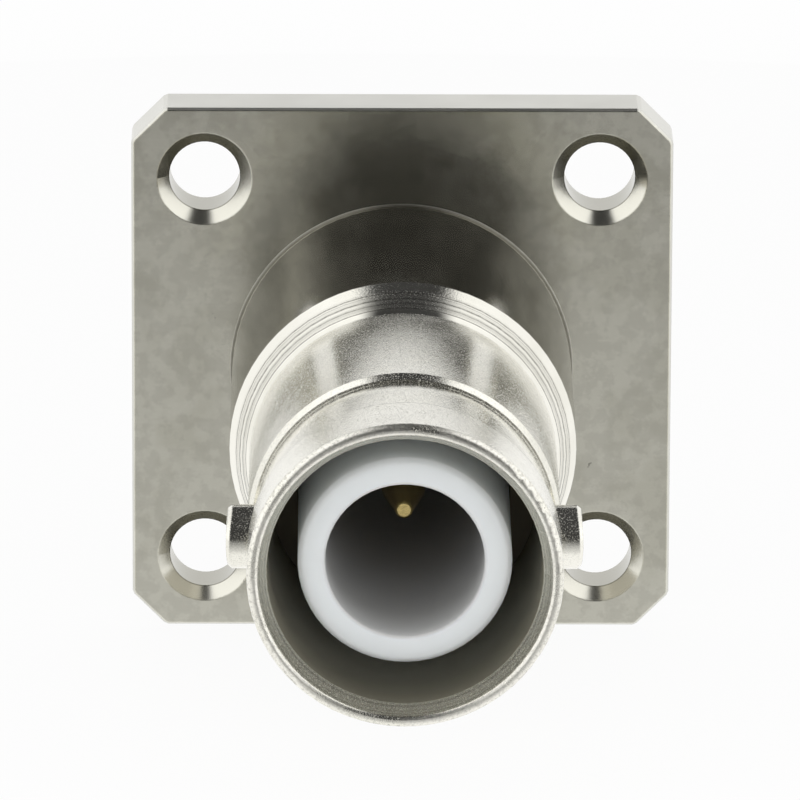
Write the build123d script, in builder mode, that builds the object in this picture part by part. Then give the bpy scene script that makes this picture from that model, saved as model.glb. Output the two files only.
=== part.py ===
from build123d import *
import os
from math import radians, tan

# High-voltage coaxial panel jack with a square four-hole flange, in millimetres.
# The connector's axis is the Y axis and its mouth faces -Y. The plane Y = 0 is the flange's
# rear face, which lies against the panel. "Forward" is the distance from that plane towards
# the mouth, so a place's forward is its -Y.

# Square flange
screw_spacing = 12.7  # between neighbouring screw holes, across and up
screw_to_edge = 2.35  # from a screw hole's centre to the flange's edge
screw_hole_diameter = 2.28
countersink_width = 0.39  # of the 45 degree countersink, all round
flange_thickness = 1.85
flange_corner_cut = 1.08
flange_edge_break = 0.08

# Centre contact
pin_diameter = 1.38
pin_tip_diameter = 0.52
pin_nose_length = 2.5
pin_recess = 6.78  # from the mouth back to the pin's tip
pin_tip_break = 0.05
collar_rise = 0.6  # of the collar that the insulators trap, above the pin
collar_thickness = 1.0
tail_diameter = 1.9
tail_reach = 3.4  # of the solder cup, behind the rear insulator
cup_wall = 0.3
cup_depth = 2.8
cup_drill_angle = 118
cup_scoop_length = 1.7
cup_scoop_floor = 0.1  # above the axis
cup_scoop_round = 0.35
cup_edge_break = 0.08

# Insulators
tube_bore_diameter = 4.88  # takes the plug's own insulator
tube_wall = 0.84
tube_recess = 1.61  # from the mouth back to the tube's face
tube_floor_thickness = 4.6
tube_outer_break = 0.15
tube_bore_break = 0.04
seat_rise = 0.5  # of the insulators' shoulders above the tube
front_shoulder_length = 2.4
rear_shoulder_length = 2.8
neck_diameter = 5.4
neck_reach = 4.0  # of the rear insulator, behind the shell's boss
neck_edge_break = 0.2

# Retaining bush, pressed in behind the insulators
bush_length = 2.0
bush_bore_clearance = 0.05
bush_edge_break = 0.15

# Turned and milled shell
sleeve_gap = 0.93  # between the tube and the barrel, for the plug's contact sleeve
cavity_depth = 8.9  # of that gap, from the mouth
lead_in_width = 0.31
lead_in_depth = 0.6
rim_width = 0.31  # of the mouth's front face, with its round and its edge break
rim_outer_round = 0.19
rim_inner_break = 0.06
land_length = 2.38  # of the barrel in front of the stud groove
stud_diameter = 1.97
stud_proud = 0.65  # of the studs above the barrel
stud_rear_gap = 0.18  # between a stud and the foot of the groove's rear side
stud_front_gap = 0.72
stud_edge_break = 0.1
stud_root_break = 0.1  # left round the studs by the milling cutter
groove_depth = 0.22
groove_taper_drop = 0.13  # of the groove's rear side, which starts as a taper
groove_taper_length = 0.23
barrel_length = 6.4  # behind the stud groove
shoulder_rise = 0.64
shoulder_length = 1.35
body_length = 8.72
body_root_break = 0.05  # left in the corner by the turning tool
boss_length = 3.2
boss_wall = 1.2
boss_edge_break = 0.25

# Fits, on the radius
insulator_clearance = 0.03
contact_clearance = 0.02
press_clearance = 0.01

# Radii that follow, from the contact outwards
pin_radius = pin_diameter / 2
collar_radius = pin_radius + collar_rise
tail_radius = tail_diameter / 2
cup_radius = tail_radius - cup_wall
tube_bore_radius = tube_bore_diameter / 2
tube_radius = tube_bore_radius + tube_wall
insulator_shoulder_radius = tube_radius + seat_rise
neck_radius = neck_diameter / 2
seat_radius = tube_radius + insulator_clearance
counterbore_radius = insulator_shoulder_radius + insulator_clearance
bush_radius = counterbore_radius - press_clearance
bush_bore_radius = neck_radius + bush_bore_clearance
bore_radius = tube_radius + sleeve_gap
lead_in_radius = bore_radius + lead_in_width
barrel_radius = lead_in_radius + rim_width
groove_radius = barrel_radius - groove_depth
stud_tip_radius = barrel_radius + stud_proud
body_radius = barrel_radius + shoulder_rise
boss_radius = counterbore_radius + boss_wall

# Places that follow, as distances forward of the panel
shoulder_start = flange_thickness + body_length
barrel_start = shoulder_start + shoulder_length
groove_start = barrel_start + barrel_length
groove_foot = groove_start + groove_taper_length
stud_centre = groove_foot + stud_rear_gap + stud_diameter / 2
groove_end = stud_centre + stud_diameter / 2 + stud_front_gap
mouth = groove_end + land_length
cavity_floor = mouth - cavity_depth
pin_tip = mouth - pin_recess
tube_face = mouth - tube_recess
bush_front = bush_length - boss_length
insulator_joint = bush_front + rear_shoulder_length
collar_front = insulator_joint + collar_thickness
insulator_seat = insulator_joint + front_shoulder_length
tube_floor = collar_front + tube_floor_thickness
neck_end = -boss_length - neck_reach
tail_end = neck_end - tail_reach

flange_side = screw_spacing + 2 * screw_to_edge
panel = Plane.XZ  # its normal points forward
section = Plane(origin=(0, 0, 0), x_dir=(1, 0, 0), z_dir=(0, 0, -1))  # (radius, forward)
side = Plane.YZ  # (-forward, height)

os.makedirs("parts", exist_ok=True)


def rings(radius, forward):
    """The circular edges of the part in hand that have this radius and lie this far forward."""
    circles = edges().filter_by(GeomType.CIRCLE)
    at = circles.filter_by(lambda e: abs(e.arc_center.Y + forward) < 1e-4)
    return at.filter_by(lambda e: abs(e.radius - radius) < 1e-4)


# The two bayonet studs, as one bar across the axis. They are what is left of a turned collar,
# so their tips are crowned to its radius.
with BuildPart() as stud_bar:
    with BuildSketch(side):
        with Locations((-stud_centre, 0)):
            Circle(stud_diameter / 2)
    extrude(amount=stud_tip_radius, both=True)
    with BuildSketch(panel):
        Circle(stud_tip_radius)
    extrude(amount=mouth, mode=Mode.INTERSECT)
    tips = faces().sort_by(Axis.X)
    chamfer(tips[0].edges() + tips[-1].edges(), stud_edge_break)

# Shell: flange, body, barrel, studs and rear boss, turned and milled from one piece
with BuildPart() as shell:
    with BuildSketch(panel):
        Rectangle(flange_side, flange_side)
        chamfer(vertices(), flange_corner_cut)
    extrude(amount=flange_thickness)
    chamfer(edges(), flange_edge_break)

    with BuildSketch(section):
        with BuildLine():
            Polyline(
                (0, -boss_length),
                (boss_radius, -boss_length),
                (boss_radius, 0),
                (body_radius, 0),
                (body_radius, shoulder_start),
                (barrel_radius, barrel_start),
                (barrel_radius, groove_start),
                (barrel_radius - groove_taper_drop, groove_foot),
                (groove_radius, groove_foot),
                (groove_radius, groove_end),
                (barrel_radius, groove_end),
                (barrel_radius, mouth),
                (0, mouth),
                close=True,
            )
        make_face()
    revolve(axis=Axis.Y)
    chamfer(rings(body_radius, flange_thickness), body_root_break)
    fillet(rings(barrel_radius, mouth), rim_outer_round)
    chamfer(rings(boss_radius, -boss_length), boss_edge_break)

    add(stud_bar.part)
    stud_edges = edges(Select.LAST).filter_by(GeomType.LINE, reverse=True)
    chamfer(stud_edges.filter_by(lambda e: abs(e.center().X) < groove_radius), stud_root_break)

    with BuildSketch(section):
        with BuildLine():
            Polyline(
                (0, -boss_length),
                (counterbore_radius, -boss_length),
                (counterbore_radius, insulator_seat),
                (seat_radius, insulator_seat),
                (seat_radius, cavity_floor),
                (bore_radius, cavity_floor),
                (bore_radius, mouth - lead_in_depth),
                (lead_in_radius, mouth),
                (0, mouth),
                close=True,
            )
        make_face()
    revolve(axis=Axis.Y, mode=Mode.SUBTRACT)
    chamfer(rings(lead_in_radius, mouth), rim_inner_break)

    with Locations(panel.offset(flange_thickness)):
        with GridLocations(screw_spacing, screw_spacing, 2, 2):
            CounterSinkHole(
                radius=screw_hole_diameter / 2,
                counter_sink_radius=screw_hole_diameter / 2 + countersink_width,
                counter_sink_angle=90,
            )

# Front insulator: a tube round the pin, closed behind, with a shoulder and a collar pocket
with BuildPart() as front_insulator:
    with BuildSketch(section):
        with BuildLine():
            Polyline(
                (pin_radius + contact_clearance, collar_front),
                (collar_radius + contact_clearance, collar_front),
                (collar_radius + contact_clearance, insulator_joint),
                (insulator_shoulder_radius, insulator_joint),
                (insulator_shoulder_radius, insulator_seat),
                (tube_radius, insulator_seat),
                (tube_radius, tube_face),
                (tube_bore_radius, tube_face),
                (tube_bore_radius, tube_floor),
                (pin_radius + contact_clearance, tube_floor),
                close=True,
            )
        make_face()
    revolve(axis=Axis.Y)
    chamfer(rings(tube_radius, tube_face), tube_outer_break)
    chamfer(rings(tube_bore_radius, tube_face), tube_bore_break)

# Rear insulator: a shoulder behind the collar, and a neck through the bush round the tail
with BuildPart() as rear_insulator:
    with BuildSketch(section):
        with BuildLine():
            Polyline(
                (tail_radius + contact_clearance, neck_end),
                (neck_radius, neck_end),
                (neck_radius, bush_front),
                (insulator_shoulder_radius, bush_front),
                (insulator_shoulder_radius, insulator_joint),
                (tail_radius + contact_clearance, insulator_joint),
                close=True,
            )
        make_face()
    revolve(axis=Axis.Y)
    chamfer(rings(neck_radius, neck_end), neck_edge_break)

# Retaining bush: a ring pressed into the boss, flush with its end
with BuildPart() as retaining_bush:
    with BuildSketch(section):
        with BuildLine():
            Polyline(
                (bush_bore_radius, -boss_length),
                (bush_radius, -boss_length),
                (bush_radius, bush_front),
                (bush_bore_radius, bush_front),
                close=True,
            )
        make_face()
    revolve(axis=Axis.Y)
    chamfer(
        rings(bush_radius, -boss_length) + rings(bush_bore_radius, -boss_length), bush_edge_break
    )

# Centre contact: nose and pin in front, the trapped collar, and the tail with its solder cup
with BuildPart() as centre_contact:
    with BuildSketch(section):
        with BuildLine():
            Polyline(
                (0, tail_end),
                (tail_radius, tail_end),
                (tail_radius, insulator_joint),
                (collar_radius, insulator_joint),
                (collar_radius, collar_front),
                (pin_radius, collar_front),
                (pin_radius, pin_tip - pin_nose_length),
                (pin_tip_diameter / 2, pin_tip),
                (0, pin_tip),
                close=True,
            )
        make_face()
    revolve(axis=Axis.Y)
    chamfer(rings(pin_tip_diameter / 2, pin_tip), pin_tip_break)
    chamfer(rings(tail_radius, tail_end), cup_edge_break)

    # The cup is drilled, then one side of its mouth is milled away for the wire
    cup_floor = tail_end + cup_depth
    drill_point = cup_radius / tan(radians(cup_drill_angle / 2))
    with BuildSketch(section):
        with BuildLine():
            Polyline(
                (0, tail_end),
                (cup_radius, tail_end),
                (cup_radius, cup_floor),
                (0, cup_floor + drill_point),
                close=True,
            )
        make_face()
    revolve(axis=Axis.Y, mode=Mode.SUBTRACT)
    with BuildSketch(side):
        with Locations((-tail_end, cup_scoop_floor)):
            Rectangle(2 * cup_scoop_length, tail_diameter, align=(Align.CENTER, Align.MIN))
        fillet(vertices().group_by(Axis.Y)[0].sort_by(Axis.X)[0], cup_scoop_round)
    extrude(amount=tail_radius, both=True, mode=Mode.SUBTRACT)

shell.part.label = "shell"
front_insulator.part.label = "front_insulator"
rear_insulator.part.label = "rear_insulator"
retaining_bush.part.label = "retaining_bush"
centre_contact.part.label = "centre_contact"

for piece in (shell, front_insulator, rear_insulator, retaining_bush, centre_contact):
    export_step(piece.part, f"parts/{piece.part.label}.step")
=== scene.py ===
# %% [markdown]
# # A high-voltage coaxial panel jack
# The real thing is about 34 mm long. A brass shell, turned and milled in one piece and nickel
# plated, carries a white PTFE tube, and a gold-plated pin stands inside the tube. Every piece has
# its exact shape from the CAD model, so this script adds what CAD leaves out: the finish of each
# metal and plastic surface, the light, the ground and the camera.

# %% Load the CAD pieces
import math

import bpy
import numpy as np
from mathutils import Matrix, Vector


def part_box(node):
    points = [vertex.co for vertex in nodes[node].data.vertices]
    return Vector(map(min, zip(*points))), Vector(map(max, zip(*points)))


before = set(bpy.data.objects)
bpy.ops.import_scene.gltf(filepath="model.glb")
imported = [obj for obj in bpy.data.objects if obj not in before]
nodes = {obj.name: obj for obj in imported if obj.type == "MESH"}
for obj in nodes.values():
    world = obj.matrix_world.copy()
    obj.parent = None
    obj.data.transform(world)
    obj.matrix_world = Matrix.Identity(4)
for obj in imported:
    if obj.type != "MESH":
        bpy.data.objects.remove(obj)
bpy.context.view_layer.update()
print("pieces:", ", ".join(sorted(nodes)))

# %% [markdown]
# ## Sizes that the finishes need
# Blender works in metres here, and the part is measured in millimetres. The connector's axis is
# the Y axis with its mouth towards -Y, and "forward" is the distance from the panel's plane towards
# the mouth. A finish changes where the lathe tool or the cutter changed, so those places are named
# here.

# %% Places and radii on the connector, in millimetres
MM = 0.001
flange_front = 1.85
flange_outline = 8.15  # the cut corners come this near to the middle, across and up
hole_place, hole_radius, countersink_radius = 6.35, 1.14, 1.53
body_radius, barrel_radius = 5.47, 4.83
shoulder_back, shoulder_front = 10.57, 11.92
turned_low, turned_high = 4.95, 5.26  # radii between which the shoulder keeps its turning marks
rim_inner_radius, rim_edge_radius = 4.52, 4.74
tube_bore_radius, tube_front = 2.44, 22.2
drilled_back = flange_front + 2  # the tube's bore shows as drilled from here to its face

shell_low, shell_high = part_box("shell")
mouth = -shell_low.y / MM
rim_back = mouth - 0.17
lead_in_front, lead_in_back = mouth - 0.09, mouth - 0.6
# Behind the first of these places the bore is painted lighter, as painted light.
painted_light_front, gap_floor = mouth - 4, mouth - 8.87
bore_back = 3  # well behind the gap's floor, where nothing shows
print(f"flange {2 * shell_high.x / MM:.2f} mm across, mouth {mouth:.2f} mm forward of the panel")

# %% [markdown]
# ## Colours and nodes
# Colours are written as sRGB hex, as a paint chart gives them, and Blender's shaders want linear
# light, so one function turns the one into the other. A second adds any node with its settings and
# links, which keeps each material short enough to read from top to bottom.


# %% Two helpers
def colour(hex_code):
    """An sRGB hex colour as linear red, green, blue and alpha, by the sRGB curve."""
    srgb = np.array([int(hex_code[i : i + 2], 16) for i in (1, 3, 5)]) / 255
    linear = np.where(srgb <= 0.04045, srgb / 12.92, ((srgb + 0.055) / 1.055) ** 2.4)
    return (*linear.tolist(), 1.0)


def add(tree, kind, inputs=None, **settings):
    """Adds a node, sets its properties, and fills its inputs from values, sockets or nodes."""
    made = tree.nodes.new(kind)
    for name, value in settings.items():
        setattr(made, name, value)
    for socket, value in (inputs or {}).items():
        if isinstance(value, bpy.types.Node):
            value = next(output for output in value.outputs if output.enabled)
        if isinstance(value, bpy.types.NodeSocket):
            tree.links.new(value, made.inputs[socket])
        else:
            made.inputs[socket].default_value = value
    return made


# The numbers of the Mix node's inputs when it mixes colours
SHARE, FIRST, SECOND = 0, 6, 7
print("the middle grey #808080 is", round(colour("#808080")[0], 3), "in linear light")

# %% [markdown]
# ## Masks
# A mask is 1 where a finish lies and 0 elsewhere. Each is made from a range of one coordinate, such
# as the distance along the axis, with a soft edge, and masks are multiplied where both must hold.
# A finish is a sum of shares, and each share counts only inside its mask.

# %% A soft range, and a share of a sum
BELOW = -1.0  # under every radius, distance and mark
FAR = 99.0  # beyond every part of the jack


def zone(tree, value, low, high, soft):
    """1 where value lies between low and high, falling smoothly to 0 over soft on either side."""
    rise = {"Value": value, "From Min": low - soft, "From Max": low}
    fall = {"Value": value, "From Min": high + soft, "From Max": high}
    rising = add(tree, "ShaderNodeMapRange", rise, interpolation_type="SMOOTHSTEP")
    falling = add(tree, "ShaderNodeMapRange", fall, interpolation_type="SMOOTHSTEP")
    return add(tree, "ShaderNodeMath", {0: rising, 1: falling}, operation="MULTIPLY")


def with_share(tree, total, mark, mask, share):
    """The total, plus share times mark times mask."""
    part = add(tree, "ShaderNodeMath", {0: mark, 1: mask}, operation="MULTIPLY")
    sum_inputs = {0: part, 1: share, 2: total}
    return add(tree, "ShaderNodeMath", sum_inputs, operation="MULTIPLY_ADD")


# %% [markdown]
# ## Where a point lies
# A lathe leaves marks round the axis, so what matters on the turned parts is how far forward a
# point lies, and how far from the axis. On the milled flange it is how near a point is to the
# outline and to a screw hole. The flange is the same in all four quarters, so it is folded onto one
# of them. All of it comes from Object coordinates, which hold still when the camera moves.


# %% Coordinates in millimetres
def millimetres(tree):
    """The place of a point, in mm."""
    where = add(tree, "ShaderNodeTexCoord")
    scaled = {"Vector": where.outputs["Object"], "Scale": (1 / MM, 1 / MM, 1 / MM)}
    return add(tree, "ShaderNodeMapping", scaled)


def turned_coordinates(tree, in_mm):
    """The distance forward of the panel, and the distance from the axis."""
    axes = add(tree, "ShaderNodeSeparateXYZ", {0: in_mm})
    forward = add(tree, "ShaderNodeMath", {0: axes.outputs["Y"], 1: -1.0}, operation="MULTIPLY")
    across = add(tree, "ShaderNodeVectorMath", {0: in_mm, 1: (1, 0, 1)}, operation="MULTIPLY")
    radius = add(tree, "ShaderNodeVectorMath", {0: across}, operation="LENGTH")
    return forward, radius


def flange_coordinates(tree, in_mm):
    """The larger of the distances across and up, and the distance from a screw hole's middle."""
    folded = add(tree, "ShaderNodeVectorMath", {0: in_mm}, operation="ABSOLUTE")
    quarter = add(tree, "ShaderNodeSeparateXYZ", {0: folded}).outputs
    larger = {0: quarter["X"], 1: quarter["Z"]}
    larger = add(tree, "ShaderNodeMath", larger, operation="MAXIMUM")
    from_hole = {0: folded, 1: (hole_place, 0, hole_place)}
    from_hole = add(tree, "ShaderNodeVectorMath", from_hole, operation="SUBTRACT")
    from_hole = {0: from_hole, 1: (1, 0, 1)}
    from_hole = add(tree, "ShaderNodeVectorMath", from_hole, operation="MULTIPLY")
    from_hole = add(tree, "ShaderNodeVectorMath", {0: from_hole}, operation="LENGTH")
    return larger, from_hole


# %% [markdown]
# ## Nickel plate: where each finish lies
# The shell was turned, and its square flange milled. Tumbling and plating left its flat faces satin
# and slightly mottled, its milled sides and its countersinks plainer, and gave the barrel a fine
# peened grain, which also frosts the shoulder's outer edge. The rest of the tapered shoulder and
# the lead-in keep their turning marks, the rim of the mouth is pitted, and the bore behind the
# lead-in, where plating hardly reaches, is dull.
#
# A zone is the product of two soft ranges. Each range names the coordinate that it looks at, where
# it starts and ends, and how soft its ends are, all in millimetres.

# %% Zones of the flange
# The two faces are ranges of the distance forward, outside a radius.
front_face = (flange_front - 0.02, flange_front + 0.02, 0.02)
back_face = (BELOW, 0.02, 0.02)
off_body = (body_radius + 0.06, FAR, 0.04)
within_flange = ("forward", 0.03, flange_front - 0.03, 0.02)
flange_zones = {
    "side": (within_flange, ("larger", flange_outline, FAR, 0.02)),
    "hole": (within_flange, ("from_hole", BELOW, countersink_radius, 0.02)),
    "hole_wall": (within_flange, ("from_hole", BELOW, hole_radius + 0.01, 0.02)),
}
print("flange: faces,", ", ".join(flange_zones))

# %% Zones of the turned outside
on_shoulder = ("forward", shoulder_back, shoulder_front, 0.03)
on_barrel = ("forward", shoulder_front, FAR, 0.05)
at_rim = ("forward", rim_back, FAR, 0.1)
outside = ("radius", rim_inner_radius, FAR, 0.05)
outside_zones = {
    "root": (
        ("forward", flange_front + 0.01, flange_front + 0.06, 0.02),
        ("radius", body_radius, body_radius + 0.05, 0.02),
    ),
    "body": (
        ("forward", flange_front, shoulder_back, 0.03),
        ("radius", body_radius - 0.03, body_radius + 0.02, 0.02),
    ),
    "shoulder": (on_shoulder, ("radius", turned_low, turned_high, 0.05)),
    "frosted": (on_shoulder, ("radius", turned_high, FAR, 0.1)),
    "barrel": (on_barrel, outside),
    "studs": (on_barrel, ("radius", barrel_radius + 0.1, FAR, 0.05)),
    "rim": (at_rim, outside),
    "edge": (at_rim, ("radius", rim_edge_radius, FAR, 0.04)),
}
print("outside:", ", ".join(outside_zones))

# %% Zones inside the mouth
inside = ("radius", BELOW, rim_inner_radius, 0.05)
inside_zones = {
    "lead_in": (("forward", lead_in_back, lead_in_front, 0.03), inside),
    "bore": (("forward", bore_back, lead_in_back, 0.04), inside),
    "deep_painted_light": (("forward", bore_back, painted_light_front, 3), inside),
    "floor_painted_shade": (("forward", bore_back, gap_floor, 0.02), inside),
}
print("inside:", ", ".join(inside_zones))

# %% [markdown]
# The ranges become masks here. The flange's two faces share one finish, so the larger of their
# masks stands for both, away from the body.


# %% Masks of the shell
def shell_zones(tree, places):
    """A mask for each finish on the shell, by name: the product of its two soft ranges."""
    zones = {}
    for name, ranges in (flange_zones | outside_zones | inside_zones).items():
        first, second = (zone(tree, places[which], *limits) for which, *limits in ranges)
        zones[name] = add(tree, "ShaderNodeMath", {0: first, 1: second}, operation="MULTIPLY")
    front, back = (zone(tree, places["forward"], *face) for face in (front_face, back_face))
    faces = add(tree, "ShaderNodeMath", {0: front, 1: back}, operation="MAXIMUM")
    ring = zone(tree, places["radius"], *off_body)
    zones["flange"] = add(tree, "ShaderNodeMath", {0: faces, 1: ring}, operation="MULTIPLY")
    return zones


# %% [markdown]
# ## Nickel plate: marks
# Every mark is a value from 0 to 1. The grain, the pits and the stains are noise, each at its own
# size. The turning marks are noise in one dimension only, the distance forward, one feed of the
# tool wide. That makes them true rings of uneven depth, as a tool leaves them.

# %% Marks on the metal
MARKS = {  # size in millimetres, and how much finer detail the noise carries
    "grain": (0.07, 2.0),  # peened, on the barrel
    "pits": (0.11, 2.0),  # on the rim of the mouth
    "stain": (2.4, 3.0),  # clouds from handling, all over
    "dents": (0.5, 4.0),  # mottles and scattered specks on the flange
    "frost": (0.045, 1.0),  # the finest specks that the render can show
}
MARK_ROUGHNESS = 0.6  # how strongly each finer step of detail shows
HAIRS_PER_MM = (0.9, 3.0, 14.0)  # across, along and up: faint streaks, drawn out across
FEED_MM = 0.1  # of the lathe tool, along the axis


def shell_marks(tree, in_mm, forward):
    """The marks on the shell, by name: noise with one cell to each size."""
    marks = {}
    for name, (size, detail) in MARKS.items():
        inputs = {"Vector": in_mm, "Scale": 1 / size, "Detail": detail}
        inputs["Roughness"] = MARK_ROUGHNESS
        marks[name] = add(tree, "ShaderNodeTexNoise", inputs)
    drawn_out = {"Vector": in_mm, "Scale": HAIRS_PER_MM}
    hairs = {"Vector": add(tree, "ShaderNodeMapping", drawn_out), "Scale": 1.0, "Detail": 2.0}
    marks["hairs"] = add(tree, "ShaderNodeTexNoise", hairs)
    turned = {"W": forward, "Scale": 1 / FEED_MM, "Detail": 3.0, "Roughness": 0.7}
    marks["ridges"] = add(tree, "ShaderNodeTexNoise", turned, noise_dimensions="1D")
    return marks


# %% [markdown]
# ## Nickel plate: relief
# Heights are in micrometres, and each mark counts only in its zones, so the height is a sum of
# marks times zones. The Bump node turns the sum into a tilt of the shading. The Bevel node before
# it bends the shading over the sharp edges of the CAD mesh, as plating rounds them.

# %% Relief of the metal
MICROMETRE = 1e-6
EDGE_ROUND_MM = 0.05
HAIR_HEIGHT = 0.5  # micrometres, all over
HEIGHTS = (  # mark, zone, micrometres
    ("grain", "barrel", 3.6),
    ("grain", "frosted", 3.6),
    ("pits", "rim", 1.4),
    ("ridges", "shoulder", 3.0),
    ("ridges", "lead_in", 3.5),
    ("grain", "shoulder", 0.6),
    ("grain", "lead_in", 5.0),
)


def shell_relief(tree, zones, marks):
    """The Bump node for the shell, from micrometres of height per mark and zone."""
    height = {0: marks["hairs"], 1: HAIR_HEIGHT}
    height = add(tree, "ShaderNodeMath", height, operation="MULTIPLY")
    for mark, where, micrometres in HEIGHTS:
        height = with_share(tree, height, marks[mark], zones[where], micrometres)
    rounded = add(tree, "ShaderNodeBevel", {"Radius": EDGE_ROUND_MM * MM}, samples=4)
    inputs = {"Strength": 1.0, "Distance": MICROMETRE, "Height": height, "Normal": rounded}
    return add(tree, "ShaderNodeBump", inputs)


# %% [markdown]
# ## Nickel plate: clean colours and painted shade
# Bright nickel is a slightly warm silver, and handling and tumbling leave soft clouds on it. The
# body, the milled sides, the countersinks, the walls of the screw holes and the lead-in each have a
# plain colour, laid over the clouds one after the other. The walls of the screw holes are painted
# dark, as painted shade, and the darker body and milled sides are partly their duller finish,
# partly painted shade.

# %% Clean colours of the metal, and painted shade
POLISHED, STAINED = "#EEECE3", "#E8E6DC"
SATIN_LIGHT, SATIN_DARK = "#D6D4C7", "#CDCBBD"
CLOUD_FROM, CLOUD_SOFT = 0.56, 0.16
METALS_AND_PAINTED_SHADES = {
    # The body's darker colour is partly its duller stamped finish, partly painted shade.
    "body": "#BFBCB1",
    # The milled sides' darker colour is partly their milled finish, partly painted shade.
    "side": "#D2D1CA",
    "hole": "#D9D7CC",
    # The screw holes' walls are painted dark, as painted shade.
    "hole_wall": "#A6A499",
    "lead_in": "#D6D3C4",
}


def clean_colour(tree, zones, marks):
    """The shell's colour without dirt, mixed zone by zone, with painted shade in the screw holes
    and in part on the body and the milled sides.
    """
    clouds = zone(tree, marks["stain"], CLOUD_FROM, FAR, CLOUD_SOFT)
    polished = {SHARE: clouds, FIRST: colour(STAINED), SECOND: colour(POLISHED)}
    tint = add(tree, "ShaderNodeMix", polished, data_type="RGBA")
    satin = {SHARE: clouds, FIRST: colour(SATIN_DARK), SECOND: colour(SATIN_LIGHT)}
    satin = add(tree, "ShaderNodeMix", satin, data_type="RGBA")
    faces = {SHARE: zones["flange"], FIRST: tint, SECOND: satin}
    tint = add(tree, "ShaderNodeMix", faces, data_type="RGBA")
    for where, layer_colour in METALS_AND_PAINTED_SHADES.items():
        layer = {SHARE: zones[where], FIRST: tint, SECOND: colour(layer_colour)}
        tint = add(tree, "ShaderNodeMix", layer, data_type="RGBA")
    return tint


# %% [markdown]
# ## Nickel plate: dirt, painted shade, and the bore
# Dirt stays in the low places of the marks: between the grains, in the pits and along the turning
# marks. The corner at the body's root gets the same dark colour, as painted shade. The shares of
# all of them add up to how much grime and painted shade darken the metal.
#
# The bore's bare wall is a brownish grey. Further in it is painted a lighter one, as painted light,
# because only light that has bounced several times comes back from there. It has lost a share at
# each bounce, and with one colour throughout, the bore would turn black too soon. The floor of the
# gap round the tube is painted the darkest, as painted shade.

# %% Dirt, painted shade and the bore's colours
# The first is the colour of dirt, and also of the painted shade in the corner at the body's root;
# the second is that painted shade's share.
GRIME_AND_SHADE, ROOT_PAINTED_SHADE = "#55534A", 0.75
# The second is painted light deep in the bore, the third painted shade on the gap's floor.
DULL_BORE, DEEP_BORE_PAINTED_LIGHT, BORE_FLOOR_PAINTED_SHADE = "#A19C8C", "#D6D0C2", "#857F72"
LOW_PLACES = {  # mark, the value under which it counts in full, and how soft that limit is
    "hollows": ("grain", 0.36, 0.14),
    "pitted": ("pits", 0.38, 0.12),
    "grooves": ("ridges", 0.38, 0.1),
    "scratched": ("ridges", 0.44, 0.2),
    "mottles": ("dents", 0.42, 0.16),
    "specks": ("dents", 0.24, 0.04),
}
GRIME_SHARES = (  # low place, zone, share
    ("hollows", "barrel", 0.1),
    ("pitted", "rim", 0.15),
    ("pitted", "edge", 0.1),
    ("grooves", "shoulder", 0.9),
    ("scratched", "shoulder", 0.25),
    ("grooves", "lead_in", 0.6),
    ("specks", "flange", 0.5),
    ("mottles", "flange", 0.1),
)


def shell_grime_and_shade(tree, zones, marks):
    """How much grime, and painted shade at the body's root, darkens the metal, from 0 to 1."""
    low = {}
    for name, (mark, limit, soft) in LOW_PLACES.items():
        low[name] = zone(tree, marks[mark], BELOW, limit, soft)
    # The grooves hold their dirt here and there, not all the way round.
    broken = {0: low["grooves"], 1: marks["pits"]}
    low["grooves"] = add(tree, "ShaderNodeMath", broken, operation="MULTIPLY")
    # The corner at the body's root starts the sum, as painted shade.
    grime_and_shade = {0: zones["root"], 1: ROOT_PAINTED_SHADE}
    grime_and_shade = add(tree, "ShaderNodeMath", grime_and_shade, operation="MULTIPLY")
    for place, where, share in GRIME_SHARES:
        grime_and_shade = with_share(tree, grime_and_shade, low[place], zones[where], share)
    return grime_and_shade


def shell_colour(tree, zones, marks):
    """The base colour of the shell: the clean colour under grime and painted shade, and the bore's
    colours with their painted light and shade.
    """
    clean, grime_and_shade = clean_colour(tree, zones, marks), shell_grime_and_shade(tree, zones, marks)
    darkened = {SHARE: grime_and_shade, FIRST: clean, SECOND: colour(GRIME_AND_SHADE)}
    tint = add(tree, "ShaderNodeMix", darkened, data_type="RGBA")
    inner = {SHARE: zones["deep_painted_light"], FIRST: colour(DULL_BORE), SECOND: colour(DEEP_BORE_PAINTED_LIGHT)}
    inner = add(tree, "ShaderNodeMix", inner, data_type="RGBA")
    inner = {SHARE: zones["floor_painted_shade"], FIRST: inner, SECOND: colour(BORE_FLOOR_PAINTED_SHADE)}
    inner = add(tree, "ShaderNodeMix", inner, data_type="RGBA")
    bored = {SHARE: zones["bore"], FIRST: tint, SECOND: inner}
    return add(tree, "ShaderNodeMix", bored, data_type="RGBA")


# %% [markdown]
# ## Nickel plate: the material
# Nearly all of the look of plated metal is what it mirrors, so roughness matters more than colour:
# low on the polished body, a little more under the grain, satin on the flange and high in the bore.
# Fine rough specks, the frost, lie on the barrel, the shoulder and the lead-in. The studs lie in
# the barrel's zone too, and are smoother than it, so their share is taken off.

# %% Nickel plate
POLISHED_ROUGHNESS, WEAR = 0.1, 0.03
WEAR_FROM, WEAR_TO = 0.3, 0.7  # the part of the stains' range that wear follows
ROUGHER = {"flange": 0.09, "side": 0.2, "hole": 0.1, "barrel": 0.06, "shoulder": 0.1}
ROUGHER |= {"rim": 0.12, "root": 0.3, "lead_in": 0.14, "bore": 0.5}
FROST_FROM, FROST_SOFT = 0.66, 0.08
FROSTED = {"barrel": 0.4, "studs": -0.14, "frosted": 0.15, "shoulder": 0.08, "lead_in": 0.3}


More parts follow.
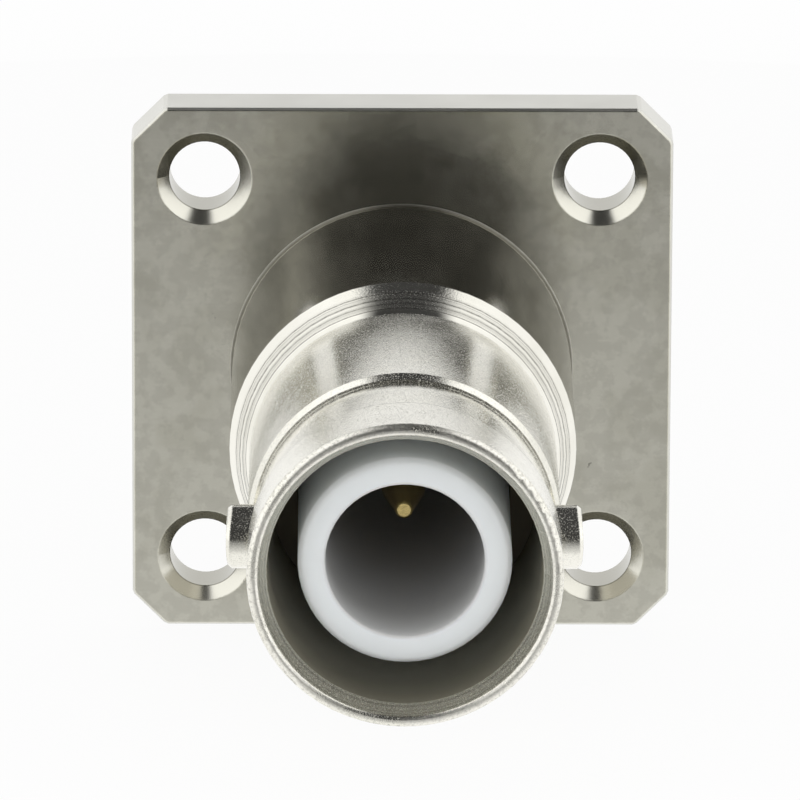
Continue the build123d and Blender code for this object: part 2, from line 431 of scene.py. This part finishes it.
def shell_roughness(tree, zones, marks):
    """Worn metal's roughness, plus what each zone adds, plus what the frost adds in each."""
    worn = {"Value": marks["stain"], "From Min": WEAR_FROM, "From Max": WEAR_TO}
    worn |= {"To Min": POLISHED_ROUGHNESS - WEAR, "To Max": POLISHED_ROUGHNESS + WEAR}
    roughness = add(tree, "ShaderNodeMapRange", worn)
    for where, more in ROUGHER.items():
        sum_inputs = {0: zones[where], 1: more, 2: roughness}
        roughness = add(tree, "ShaderNodeMath", sum_inputs, operation="MULTIPLY_ADD")
    frost = zone(tree, marks["frost"], FROST_FROM, FAR, FROST_SOFT)
    for where, more in FROSTED.items():
        roughness = with_share(tree, roughness, frost, zones[where], more)
    return roughness


def nickel_plate():
    made = bpy.data.materials.new("nickel_plated_brass")
    made.use_nodes = True
    tree = made.node_tree
    tree.nodes.clear()
    in_mm = millimetres(tree)
    forward, radius = turned_coordinates(tree, in_mm)
    larger, from_hole = flange_coordinates(tree, in_mm)
    places = {"forward": forward, "radius": radius, "larger": larger, "from_hole": from_hole}
    zones = shell_zones(tree, places)
    marks = shell_marks(tree, in_mm, forward)
    surface = {
        "Base Color": shell_colour(tree, zones, marks),
        "Metallic": 1.0,
        "Roughness": shell_roughness(tree, zones, marks),
        "Normal": shell_relief(tree, zones, marks),
    }
    surface = add(tree, "ShaderNodeBsdfPrincipled", surface)
    add(tree, "ShaderNodeOutputMaterial", {"Surface": surface})
    print(f"nickel plate: {len(tree.nodes)} nodes")
    return made


# %% [markdown]
# ## PTFE
# PTFE is a soft, slightly waxy white plastic, cut on a lathe. Light enters it a little way and
# comes out again, which softens the edges and carries light from the tube's face down its walls, so
# it gets subsurface scattering. Its refractive index is low, 1.35, so it hardly shines. The turning
# marks run on from the face over the edge, so they follow the sum of radius and forward distance,
# which grows along both. The drilled bore of the tube is duller than the outside, and is painted
# darker still away from its face, as painted shade.

# %% PTFE
# The third is painted shade deep in the tube's bore.
TURNED_PTFE, DRILLED_PTFE, PTFE_BORE_PAINTED_SHADE = "#E9F1FF", "#D3D4D4", "#B4B4B3"
PTFE_FEED_MM = 0.08
PTFE_EDGE_ROUND_MM = 0.15
SCATTER_MM = 1.5
BORE_FADE_MM = 2.5  # from the face inwards, the drilled colour turns into the deep one


def ptfe_colour(tree, forward, radius):
    """The turned white, and in the tube's bore the drilled one, which fades to a painted shade
    deeper in.
    """
    in_bore = zone(tree, radius, BELOW, tube_bore_radius, 0.1)
    in_tube = zone(tree, forward, drilled_back, FAR, 1)
    drilled = add(tree, "ShaderNodeMath", {0: in_bore, 1: in_tube}, operation="MULTIPLY")
    near_face = zone(tree, forward, tube_front, FAR, BORE_FADE_MM)
    bore = {SHARE: near_face, FIRST: colour(PTFE_BORE_PAINTED_SHADE), SECOND: colour(DRILLED_PTFE)}
    bore = add(tree, "ShaderNodeMix", bore, data_type="RGBA")
    tint = {SHARE: drilled, FIRST: colour(TURNED_PTFE), SECOND: bore}
    return add(tree, "ShaderNodeMix", tint, data_type="RGBA")


def ptfe():
    made = bpy.data.materials.new("turned_ptfe")
    made.use_nodes = True
    tree = made.node_tree
    tree.nodes.clear()
    forward, radius = turned_coordinates(tree, millimetres(tree))
    path = add(tree, "ShaderNodeMath", {0: forward, 1: radius}, operation="ADD")
    feed = {"W": path, "Scale": 1 / PTFE_FEED_MM, "Detail": 2.0, "Roughness": 0.7}
    rings = add(tree, "ShaderNodeTexNoise", feed, noise_dimensions="1D")
    rounded = add(tree, "ShaderNodeBevel", {"Radius": PTFE_EDGE_ROUND_MM * MM}, samples=6)
    relief = {"Strength": 1.0, "Distance": MICROMETRE, "Height": rings, "Normal": rounded}
    surface = {
        "Base Color": ptfe_colour(tree, forward, radius),
        "Roughness": 0.45,
        "IOR": 1.35,
        "Subsurface Weight": 1.0,
        "Subsurface Radius": (1.0, 1.0, 1.0),
        "Subsurface Scale": SCATTER_MM * MM,
        "Normal": add(tree, "ShaderNodeBump", relief),
    }
    surface = add(tree, "ShaderNodeBsdfPrincipled", surface)
    add(tree, "ShaderNodeOutputMaterial", {"Surface": surface})
    print(f"PTFE: {len(tree.nodes)} nodes")
    return made


# %% [markdown]
# ## Gold plate
# The contact is brass with a thin plating of hard gold. The turned face of the pin's tip is a
# little rough, so it glitters where the rest of the pin only mirrors the dark inside of the tube.

# %% Gold plate
GOLD = "#FFE59B"
GOLD_GRAIN_MM = 0.08
GOLD_GRAIN_HEIGHT = 18  # micrometres


def gold_plate():
    made = bpy.data.materials.new("gold_plated_brass")
    made.use_nodes = True
    tree = made.node_tree
    tree.nodes.clear()
    grain = {"Vector": millimetres(tree), "Scale": 1 / GOLD_GRAIN_MM, "Detail": 2.0}
    grain = add(tree, "ShaderNodeTexNoise", grain)
    relief = {"Strength": 1.0, "Distance": GOLD_GRAIN_HEIGHT * MICROMETRE, "Height": grain}
    surface = {
        "Base Color": colour(GOLD),
        "Metallic": 1.0,
        "Roughness": 0.22,
        "Normal": add(tree, "ShaderNodeBump", relief),
    }
    surface = add(tree, "ShaderNodeBsdfPrincipled", surface)
    add(tree, "ShaderNodeOutputMaterial", {"Surface": surface})
    print(f"gold plate: {len(tree.nodes)} nodes")
    return made


# %% [markdown]
# ## Give each piece its finish
# The CAD pieces keep their meshes. Only the material in their slots changes.

# %% Assign the finishes
nickel, white_plastic, gold = nickel_plate(), ptfe(), gold_plate()
finishes = {
    "shell": nickel,
    "retaining_bush": nickel,
    "front_insulator": white_plastic,
    "rear_insulator": white_plastic,
    "centre_contact": gold,
}
for name, piece in nodes.items():
    for slot in piece.material_slots:
        slot.material = finishes[name]
    print(f"{name}: {finishes[name].name}")

# %% [markdown]
# ## Light
# Polished metal is a picture of the room. Such a part is shot inside a small white tent, so nearly
# everything that it mirrors is an even white. What draws its shape is what isn't white: the slot
# above, through which the camera looks in, the camera itself, and the shade in front below it.
#
# The tent is a sphere round the part that only reflections and bounced light see, so it can stand
# close without hiding the part from the camera. Because it is close, the flange's upper and lower
# halves mirror different parts of it, which a world texture, infinitely far away, can't do. Two
# angles name a place on it: how far it lies round from the back over the top to the front, and how
# far it leans to the side. A point's place across is the sine of its lean, and the cosine is shared
# between along and up by the angle round.

# %% Points of a close white tent
TENT_RADIUS_MM = 80
TENT_CENTRE_MM = (0, -10, 0)
ROUND_STEPS, LEAN_STEPS = 96, 48

round_angle = np.linspace(0, 2 * np.pi, ROUND_STEPS, endpoint=False)
lean_angle = np.linspace(-np.pi / 2, np.pi / 2, LEAN_STEPS + 1)[1:-1]
lean_grid, round_grid = np.meshgrid(lean_angle, round_angle, indexing="ij")
sphere = np.stack(
    [
        np.sin(lean_grid),
        np.cos(lean_grid) * np.cos(round_grid),
        np.cos(lean_grid) * np.sin(round_grid),
    ],
    axis=-1,
).reshape(-1, 3)
poles = np.array([[-1, 0, 0], [1, 0, 0]])
points = (np.concatenate([sphere, poles]) * TENT_RADIUS_MM + TENT_CENTRE_MM) * MM
print(f"tent: {len(points)} points")

# %% [markdown]
# Four neighbours on the grid make a face, and at the left and right ends a cap of triangles meets
# in a pole, so the tent is closed.

# %% Faces of the tent
rows, columns = len(lean_angle), ROUND_STEPS
index = np.arange(rows * columns).reshape(rows, columns)
after = np.roll(index, -1, axis=1)
quads = np.stack([index[:-1], after[:-1], after[1:], index[1:]], axis=-1).reshape(-1, 4)
left_pole, right_pole = rows * columns, rows * columns + 1
left_cap = np.stack([np.full(columns, left_pole), after[0], index[0]], axis=-1)
right_cap = np.stack([np.full(columns, right_pole), index[-1], after[-1]], axis=-1)
tent_faces = quads.tolist() + left_cap.tolist() + right_cap.tolist()
tent_mesh = bpy.data.meshes.new("tent")
tent_mesh.from_pydata(points.tolist(), [], tent_faces)
tent = bpy.data.objects.new("tent", tent_mesh)
bpy.context.scene.collection.objects.link(tent)
tent.visible_camera = False
print(f"tent: {len(tent_mesh.polygons)} faces")

# %% [markdown]
# ## What the tent looks like inside
# The brightness is one value, mixed from soft masks in the two angles. Angles are in degrees here,
# and "over" runs from 0 at the back, by 90 overhead and 180 in front, to 270 below. "Lean" is 0 in
# the middle plane and grows to the right.

# %% The two angles
glow = bpy.data.materials.new("tent_light")
glow.use_nodes = True
tree = glow.node_tree
tree.nodes.clear()
where = add(tree, "ShaderNodeTexCoord").outputs["Object"]
tent_centre = tuple(c * MM for c in TENT_CENTRE_MM)
centred = add(tree, "ShaderNodeVectorMath", {0: where, 1: tent_centre}, operation="SUBTRACT")
outward = add(tree, "ShaderNodeVectorMath", {0: centred}, operation="NORMALIZE")
parts = add(tree, "ShaderNodeSeparateXYZ", {0: outward}).outputs
leaning = add(tree, "ShaderNodeMath", {0: parts["X"]}, operation="ARCSINE")
lean = add(tree, "ShaderNodeMath", {0: leaning}, operation="DEGREES")
turned = add(tree, "ShaderNodeMath", {0: parts["Z"], 1: parts["Y"]}, operation="ARCTAN2")
turned = add(tree, "ShaderNodeMath", {0: turned}, operation="DEGREES")
over = add(tree, "ShaderNodeMath", {0: turned, 1: -90.0, 2: 270.0}, operation="WRAP")
print(f"the tent's light: {len(tree.nodes)} nodes give the two angles")

# %% [markdown]
# The three dark places are the slot, the camera as a soft ellipse round its middle, and the shade,
# which fades downwards and widens below the camera. The offset from the camera's middle, divided by
# its height and width, has the length 1 on the ellipse. The darkest of the three counts.

# %% The slot and the camera
SLOT_LEAN, SLOT_LEAN_SOFT = (-11, 15), 10
SLOT_OVER, SLOT_OVER_SOFT = (36, 172), 8
CAMERA_OVER, CAMERA_LEAN = 158, 3
CAMERA_HEIGHT, CAMERA_WIDTH = 26, 30
CAMERA_FULL, CAMERA_SOFT = 0.75, 0.5  # where 1 is on the ellipse

slot_across = zone(tree, lean, *SLOT_LEAN, SLOT_LEAN_SOFT)
slot_along = zone(tree, over, *SLOT_OVER, SLOT_OVER_SOFT)
slot = add(tree, "ShaderNodeMath", {0: slot_across, 1: slot_along}, operation="MULTIPLY")

angles = add(tree, "ShaderNodeCombineXYZ", {0: over, 1: lean})
middle, half = (CAMERA_OVER, CAMERA_LEAN, 0), (CAMERA_HEIGHT, CAMERA_WIDTH, 1)
offset = add(tree, "ShaderNodeVectorMath", {0: angles, 1: middle}, operation="SUBTRACT")
offset = add(tree, "ShaderNodeVectorMath", {0: offset, 1: half}, operation="DIVIDE")
distance = add(tree, "ShaderNodeVectorMath", {0: offset}, operation="LENGTH")
camera_shape = zone(tree, distance, BELOW, CAMERA_FULL, CAMERA_SOFT)
print(f"slot over {SLOT_OVER} degrees, camera at {CAMERA_OVER}")

# %% The shade, and the darkest of the three
SHADE_OVER, SHADE_START_SOFT = (176, 226), 4
PAST_LAST_ANGLE = 300  # the angle over ends at 270
WIDENS_OVER, SHADE_LEAN = (180, 196), (23, 30)
SHADE_FULL, SHADE_SOFT = 0.9, 0.7  # where 1 is the lean at its side

fading = {"Value": over, "From Min": SHADE_OVER[1], "From Max": SHADE_OVER[0]}
fading = add(tree, "ShaderNodeMapRange", fading)
starting = zone(tree, over, SHADE_OVER[0], PAST_LAST_ANGLE, SHADE_START_SOFT)
widening = {"Value": over, "From Min": WIDENS_OVER[0], "From Max": WIDENS_OVER[1]}
widening |= {"To Min": SHADE_LEAN[0], "To Max": SHADE_LEAN[1]}
widening = add(tree, "ShaderNodeMapRange", widening, interpolation_type="SMOOTHSTEP")
sideways = add(tree, "ShaderNodeMath", {0: lean}, operation="ABSOLUTE")
sideways = add(tree, "ShaderNodeMath", {0: sideways, 1: widening}, operation="DIVIDE")
narrow = zone(tree, sideways, BELOW, SHADE_FULL, SHADE_SOFT)
shade = add(tree, "ShaderNodeMath", {0: fading, 1: starting}, operation="MULTIPLY")
shade = add(tree, "ShaderNodeMath", {0: shade, 1: narrow}, operation="MULTIPLY")
dark = add(tree, "ShaderNodeMath", {0: slot, 1: camera_shape}, operation="MAXIMUM")
dark = add(tree, "ShaderNodeMath", {0: dark, 1: shade}, operation="MAXIMUM")
print(f"shade over {SHADE_OVER} degrees")

# %% [markdown]
# Metal mirrors this picture as it is, and the tent is brighter between overhead and the front than
# elsewhere. A matte surface gathers light from all of the tent at once, so for scattered light the
# tent has no dark places, and is brighter in front, towards the mouth, than behind. That keeps the
# white plastic a little below pure white, and visible against the background, from every side.

# %% Brightness of the tent
TENT_WHITE, TENT_TOP_WHITE, TENT_DARK = 1.08, 1.32, 0.05
TOP_OVER, TOP_SOFT = (80, 185), 25
SCATTERED_BACK, SCATTERED_FRONT = 0.72, 1.12
FRONT_OVER, FRONT_SOFT = (130, 230), 50

topness = zone(tree, over, *TOP_OVER, TOP_SOFT)
white_level = {0: topness, 1: TENT_TOP_WHITE - TENT_WHITE, 2: TENT_WHITE}
white_level = add(tree, "ShaderNodeMath", white_level, operation="MULTIPLY_ADD")
mirrored = {"Value": dark, "To Min": white_level, "To Max": TENT_DARK}
mirrored = add(tree, "ShaderNodeMapRange", mirrored)
scattered = {"Value": zone(tree, over, *FRONT_OVER, FRONT_SOFT)}
scattered |= {"To Min": SCATTERED_BACK, "To Max": SCATTERED_FRONT}
scattered = add(tree, "ShaderNodeMapRange", scattered)
is_scattered = add(tree, "ShaderNodeLightPath").outputs["Is Diffuse Ray"]
level = {"Value": is_scattered, "To Min": mirrored, "To Max": scattered}
level = add(tree, "ShaderNodeMapRange", level)
light = add(tree, "ShaderNodeEmission", {"Color": (1, 1, 1, 1), "Strength": level})
add(tree, "ShaderNodeOutputMaterial", {"Surface": light})
glow.cycles.emission_sampling = "NONE"
tent_mesh.materials.append(glow)
print(f"the tent's light: {len(tree.nodes)} nodes")

# %% [markdown]
# ## World
# The world behind it all is white to the camera, as strong as white paper, and also outside the
# tent, where it only lights the ground.

# %% White world
world = bpy.data.worlds.new("white")
bpy.context.scene.world = world
world.use_nodes = True
sky = world.node_tree
sky.nodes.clear()
backdrop = add(sky, "ShaderNodeBackground", {"Color": (1, 1, 1, 1), "Strength": 1.0})
add(sky, "ShaderNodeOutputWorld", {"Surface": backdrop})
print("world strength:", backdrop.inputs["Strength"].default_value)

# %% [markdown]
# ## Ground
# The jack stands on its flange's lower edge on a pale ground. A disc worked out from two
# parameters, angle and radius, is enough: its points are radius times cosine and sine. The ground
# is plain white to the camera, with a faint trace of the part's shadow, and takes no part in
# lighting the metal, which the tent does from all round.

# %% Pale ground
GROUND_RADIUS = 1.5  # metres
GROUND_GAP_MM = 0.02
GROUND_STEPS = 96
edge_angle = np.linspace(0, 2 * np.pi, GROUND_STEPS, endpoint=False)
edge = GROUND_RADIUS * np.stack(
    [np.cos(edge_angle), np.sin(edge_angle), np.zeros(GROUND_STEPS)], axis=1
)
edge[:, 2] = shell_low.z - GROUND_GAP_MM * MM
ground_mesh = bpy.data.meshes.new("ground")
ground_mesh.from_pydata(edge.tolist(), [], [list(range(GROUND_STEPS))])
ground = bpy.data.objects.new("ground", ground_mesh)
bpy.context.scene.collection.objects.link(ground)
ground.visible_glossy = False
ground.visible_diffuse = False
print(f"ground at {edge[0, 2] / MM:.2f} mm")

# %% [markdown]
# Most of the ground's white is its own, like a light table's, and only a small share is paper lit
# by the tent. That share is what carries the faint shadow.

# %% White paper
PAPER, PAPER_GLOW = "#FAFAFA", 0.92

paper = bpy.data.materials.new("white_paper")
paper.use_nodes = True
tree = paper.node_tree
tree.nodes.clear()
matte = add(tree, "ShaderNodeBsdfDiffuse", {"Color": colour(PAPER)})
white = add(tree, "ShaderNodeEmission", {"Color": (1, 1, 1, 1), "Strength": 1.0})
mixed = add(tree, "ShaderNodeMixShader", {0: PAPER_GLOW, 1: matte, 2: white})
add(tree, "ShaderNodeOutputMaterial", {"Surface": mixed})
ground_mesh.materials.append(paper)
print(f"paper: {len(tree.nodes)} nodes")

# %% [markdown]
# ## Camera
# The photograph was taken from straight in front and about 17 degrees above, through a long lens,
# so the flange keeps its square shape while the mouth still looks a little larger. The camera is
# put at that distance along its line of sight from the middle of the flange's front face, and
# turned a fraction of a degree, as the hand-held original is.

# %% Direction of the camera
ELEVATION = math.radians(16.94)
YAW = math.radians(0.36)
ROLL = math.radians(-0.23)


def turn(axis, by):
    """The rotation by an angle about one of three axes: 0 is right, 1 is up, 2 is out of view."""
    made = np.eye(3)
    i, j = [(1, 2), (2, 0), (0, 1)][axis]
    made[i, i] = made[j, j] = math.cos(by)
    made[i, j], made[j, i] = -math.sin(by), math.sin(by)
    return made


# In the first frame X is right, Y up and Z out of the mouth. Its rows become the camera's axes.
facing = turn(2, ROLL) @ turn(0, ELEVATION) @ turn(1, YAW)
to_part = np.array([[1, 0, 0], [0, 0, -1], [0, 1, 0]])
right, up, backward = facing @ to_part.T
print("the camera looks along", (-backward).round(3))

# %% Camera
VIEW_DISTANCE = 350 * MM
FOCAL_PIXELS = 10840
IMAGE_PIXELS = 800
SENSOR_MM = 36
AIM_RIGHT, AIM_UP = -0.0475 * MM, -1.0118 * MM
aim = np.array([0, -flange_front * MM, 0]) + AIM_RIGHT * right + AIM_UP * up

camera = bpy.data.objects.new("camera", bpy.data.cameras.new("camera"))
bpy.context.scene.collection.objects.link(camera)
matrix = np.eye(4)
matrix[:3, :3] = np.stack([right, up, backward], axis=1)
matrix[:3, 3] = aim + VIEW_DISTANCE * backward
camera.matrix_world = matrix.T.tolist()
camera.data.sensor_width = SENSOR_MM
camera.data.lens = FOCAL_PIXELS / IMAGE_PIXELS * SENSOR_MM
camera.data.clip_start, camera.data.clip_end = 0.01, 10
bpy.context.scene.camera = camera
print("camera at", [round(v / MM, 1) for v in matrix[:3, 3]], "mm")

# %% [markdown]
# ## Finish
# The colours are shown as they are, with no film look.

# %% Output
bpy.context.scene.view_settings.view_transform = "Standard"
